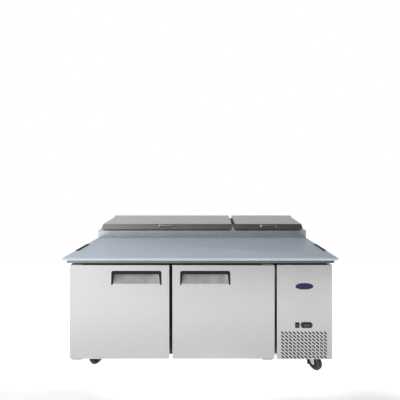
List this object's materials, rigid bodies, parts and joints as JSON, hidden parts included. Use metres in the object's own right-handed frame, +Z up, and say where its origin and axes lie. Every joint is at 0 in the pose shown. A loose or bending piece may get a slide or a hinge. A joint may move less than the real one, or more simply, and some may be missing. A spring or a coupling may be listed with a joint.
{
  "type": "refrigerated prep table",
  "caption": "Two-door refrigerated sandwich and pizza prep table on casters, with a deep cutting board, a raised pan rail under lift-up lids and a vented machine panel.",
  "frame": {"origin": "on the floor, under the middle of the whole table", "axes": "+X to the right seen from the front, +Y to the back, +Z up"},
  "size_m": [1.706, 0.841, 0.945],
  "materials": {
    "steel": "satin",
    "liner_steel": "satin",
    "foam": "matte",
    "foamed_liner": "satin",
    "board": "matte",
    "black_plastic": "satin",
    "gasket_rubber": "matte",
    "badge_enamel": "gloss",
    "rocker_green": "gloss",
    "button_grey": "satin",
    "copper": "satin",
    "fins": "satin",
    "compressor_paint": "satin",
    "zinc": "satin",
    "wheel_rubber": "matte",
    "chrome_wire": "polished"
  },
  "bodies": {
    "cabinet": {"side_panels": "steel", "back_panel": "steel", "bottom_panel": "steel", "cabinet_liner": "liner_steel", "insulation": "foam", "front_frame": "black_plastic", "machine_partition": "steel", "countertop": "steel", "rail_housing": "steel", "rail_deck": "steel", "rail_well": "liner_steel", "pan_bars": "steel", "pans": "liner_steel", "lid_hinge_ears": "black_plastic", "door_hinge_plates": "steel", "machine_panel": "steel", "badge": "badge_enamel", "switch_bezel": "black_plastic", "controller_case": "black_plastic", "shelf_posts": "chrome_wire", "shelves": "chrome_wire", "evaporator_coil": "fins", "evaporator_cover": "liner_steel", "compressor": "compressor_paint", "condenser_coil": "fins", "fan_shroud": "zinc", "refrigerant_lines": "copper", "cord_gland": "black_plastic", "caster_plates": "zinc"},
    "cutting_board": {"cutting_board": "board", "board_grips": "black_plastic"},
    "door_left": {"door_left_skin": "steel", "door_left_liner": "foamed_liner", "door_left_gasket": "gasket_rubber", "door_left_handle": "black_plastic"},
    "door_right": {"door_right_skin": "steel", "door_right_liner": "foamed_liner", "door_right_gasket": "gasket_rubber", "door_right_handle": "black_plastic"},
    "lid_left": {"lid_left_skin": "steel", "lid_left_liner": "foamed_liner", "lid_left_handle": "steel"},
    "lid_right": {"lid_right_skin": "steel", "lid_right_liner": "foamed_liner", "lid_right_handle": "steel"},
    "power_switch": {"switch_rocker": "rocker_green"},
    "set_button": {"controller_set_button": "button_grey"},
    "light_button": {"controller_light_button": "button_grey"},
    "condenser_fan": {"condenser_fan": "black_plastic"},
    "evaporator_fan": {"evaporator_fan": "black_plastic"},
    "front_left_swivel": {"front_left_fork": "zinc"},
    "front_left_roller": {"front_left_wheel": "wheel_rubber"},
    "front_right_swivel": {"front_right_fork": "zinc"},
    "front_right_roller": {"front_right_wheel": "wheel_rubber"},
    "rear_left_swivel": {"rear_left_fork": "zinc"},
    "rear_left_roller": {"rear_left_wheel": "wheel_rubber"},
    "rear_right_swivel": {"rear_right_fork": "zinc"},
    "rear_right_roller": {"rear_right_wheel": "wheel_rubber"},
    "front_left_pedal": {"front_left_brake": "black_plastic"},
    "front_right_pedal": {"front_right_brake": "black_plastic"}
  },
  "joints": [
    {"name": "cutting_board_lift", "type": "slide", "parent": "cabinet", "child": "cutting_board", "axis": [0, 0, 1], "range_m": [0, 0.05]},
    {"name": "door_left_hinge", "type": "hinge", "parent": "cabinet", "child": "door_left", "pos_m": [-0.826, -0.3305, 0.44675], "axis": [0, 0, -1], "range_deg": [0, 110]},
    {"name": "door_right_hinge", "type": "hinge", "parent": "cabinet", "child": "door_right", "pos_m": [0.455, -0.3305, 0.44675], "axis": [0, 0, 1], "range_deg": [0, 110]},
    {"name": "lid_left_hinge", "type": "hinge", "parent": "cabinet", "child": "lid_left", "pos_m": [-0.292, 0.405, 0.935], "axis": [-1, 0, 0], "range_deg": [0, 100]},
    {"name": "lid_right_hinge", "type": "hinge", "parent": "cabinet", "child": "lid_right", "pos_m": [0.5525, 0.405, 0.935], "axis": [-1, 0, 0], "range_deg": [0, 100]},
    {"name": "power_switch_rock", "type": "hinge", "parent": "cabinet", "child": "power_switch", "pos_m": [0.626, -0.3405, 0.3625], "axis": [-1, 0, 0], "range_deg": [0, 12]},
    {"name": "set_button_press", "type": "slide", "parent": "cabinet", "child": "set_button", "axis": [0, 1, 0], "range_m": [0, 0.001], "stiffness_N_per_m": 300, "springref_m": -0.0005},
    {"name": "light_button_press", "type": "slide", "parent": "cabinet", "child": "light_button", "axis": [0, 1, 0], "range_m": [0, 0.001], "stiffness_N_per_m": 300, "springref_m": -0.0005},
    {"name": "condenser_fan_spin", "type": "hinge", "parent": "cabinet", "child": "condenser_fan", "pos_m": [0.6725, -0.22, 0.2575], "axis": [0, 1, 0], "continuous": true},
    {"name": "evaporator_fan_spin", "type": "hinge", "parent": "cabinet", "child": "evaporator_fan", "pos_m": [-0.119, 0.3005, 0.6375], "axis": [0, 1, 0], "continuous": true},
    {"name": "front_left_swivel_turn", "type": "hinge", "parent": "cabinet", "child": "front_left_swivel", "pos_m": [-0.764, -0.216, 0.1275], "axis": [0, 0, 1], "continuous": true},
    {"name": "front_left_wheel_roll", "type": "hinge", "parent": "front_left_swivel", "child": "front_left_roller", "pos_m": [-0.74474, -0.19044, 0.05], "axis": [-0.7986, 0.6018, 0], "continuous": true},
    {"name": "front_right_swivel_turn", "type": "hinge", "parent": "cabinet", "child": "front_right_swivel", "pos_m": [0.764, -0.216, 0.1275], "axis": [0, 0, 1], "continuous": true},
    {"name": "front_right_wheel_roll", "type": "hinge", "parent": "front_right_swivel", "child": "front_right_roller", "pos_m": [0.78143, -0.24284, 0.05], "axis": [0.8387, 0.5446, 0], "continuous": true},
    {"name": "rear_left_swivel_turn", "type": "hinge", "parent": "cabinet", "child": "rear_left_swivel", "pos_m": [-0.764, 0.3505, 0.1275], "axis": [0, 0, 1], "continuous": true},
    {"name": "rear_left_wheel_roll", "type": "hinge", "parent": "rear_left_swivel", "child": "rear_left_roller", "pos_m": [-0.77752, 0.3215, 0.05], "axis": [0.9063, -0.4226, 0], "continuous": true},
    {"name": "rear_right_swivel_turn", "type": "hinge", "parent": "cabinet", "child": "rear_right_swivel", "pos_m": [0.764, 0.3505, 0.1275], "axis": [0, 0, 1], "continuous": true},
    {"name": "rear_right_wheel_roll", "type": "hinge", "parent": "rear_right_swivel", "child": "rear_right_roller", "pos_m": [0.77494, 0.32043, 0.05], "axis": [0.9397, 0.342, 0], "continuous": true},
    {"name": "front_left_brake_press", "type": "hinge", "parent": "front_left_swivel", "child": "front_left_pedal", "pos_m": [-0.78296, -0.24116, 0.103], "axis": [0.7986, -0.6018, 0], "range_deg": [0, 12]},
    {"name": "front_right_brake_press", "type": "hinge", "parent": "front_right_swivel", "child": "front_right_pedal", "pos_m": [0.74684, -0.18958, 0.103], "axis": [-0.8387, -0.5446, 0], "range_deg": [0, 12]}
  ]
}
